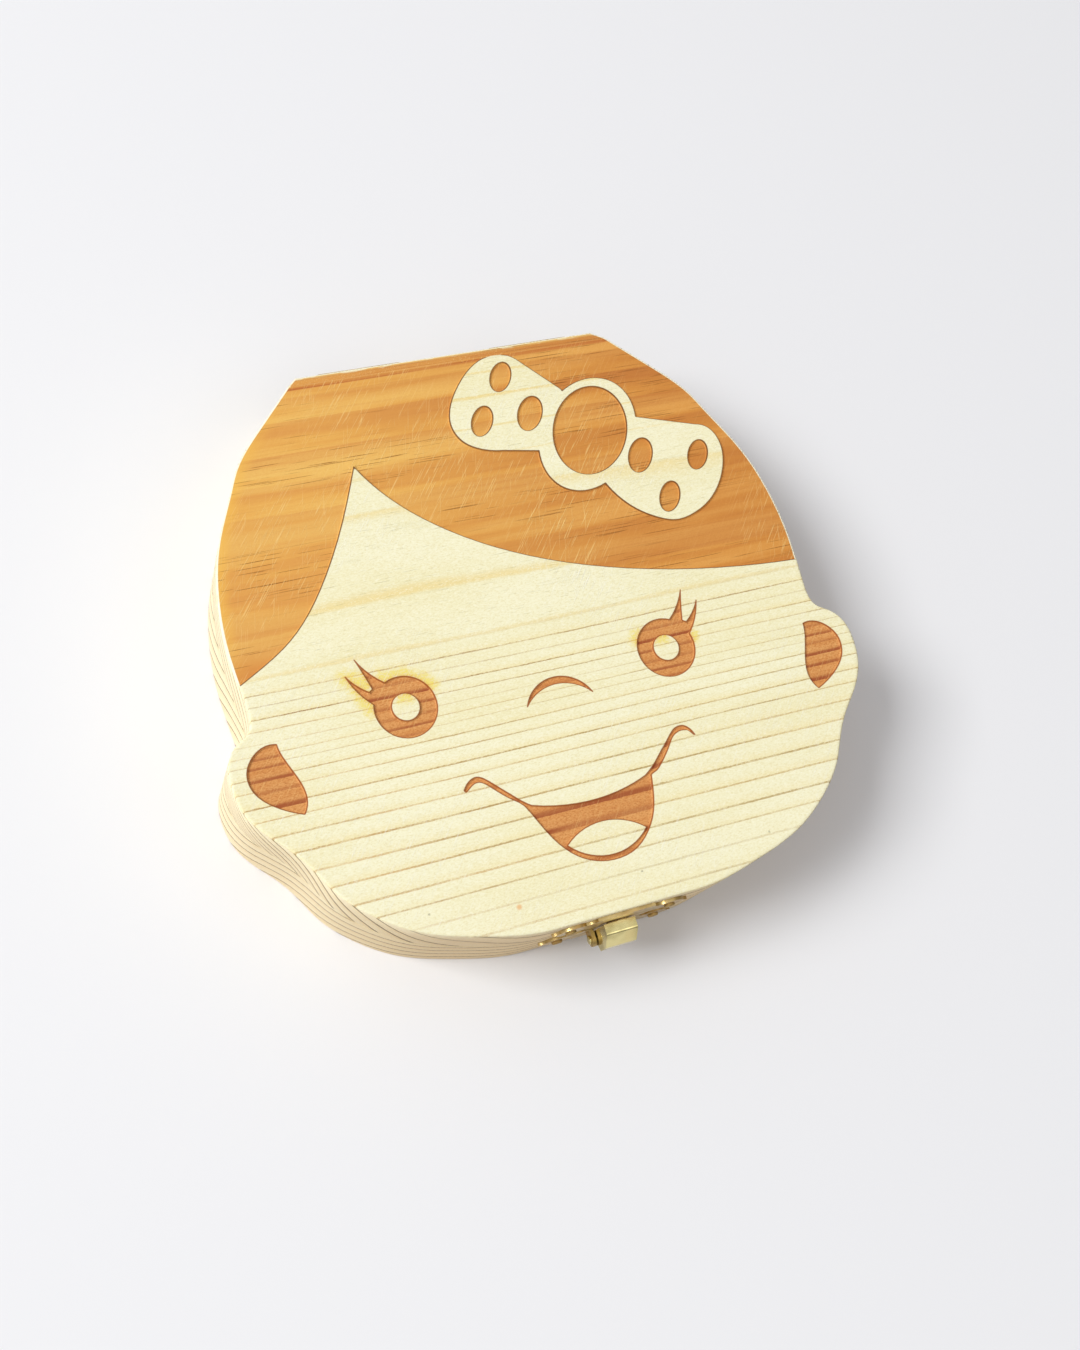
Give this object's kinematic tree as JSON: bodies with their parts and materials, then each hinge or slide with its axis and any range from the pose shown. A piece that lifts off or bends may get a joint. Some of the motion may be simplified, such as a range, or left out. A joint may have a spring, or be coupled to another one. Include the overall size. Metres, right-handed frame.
{
  "type": "baby tooth box",
  "caption": "Flat pine keepsake box cut as a smiling child's head with a bow; the lid hinges at the top and latches at the chin, over a ring of tooth wells.",
  "frame": {"origin": "centre of the overall footprint, on the underside of the base", "axes": "+Z out of the engraved face, +Y from the chin to the hinge edge, +X to the right of someone looking at the face"},
  "size_m": [0.12, 0.1172, 0.024],
  "materials": {
    "lid_pine": "bare sanded pine, engraved brown",
    "base_pine": "bare sanded pine",
    "brass": "bright pale brass plating"
  },
  "bodies": {
    "base": {"base_tray": "base_pine", "left_hinge_base_leaf": "brass", "right_hinge_base_leaf": "brass", "left_hinge_pin": "brass", "right_hinge_pin": "brass", "hinge_base_nails": "brass", "latch_base_plate": "brass", "latch_pin": "brass", "latch_base_nails": "brass"},
    "lid": {"lid_board": "lid_pine", "left_hinge_lid_leaf": "brass", "right_hinge_lid_leaf": "brass", "hinge_lid_nails": "brass", "latch_lid_plate": "brass", "latch_lid_nails": "brass"},
    "lever": {"latch_lever": "brass"}
  },
  "joints": [
    {"name": "lid_hinge", "type": "hinge", "parent": "base", "child": "lid", "pos_m": [0, 0.05717, 0.014], "axis": [-1, 0, 0], "range_deg": [0, 180]},
    {"name": "latch_pivot", "type": "hinge", "parent": "base", "child": "lever", "pos_m": [0, -0.05613, 0.0108], "axis": [1, 0, 0], "range_deg": [0, 135]}
  ]
}
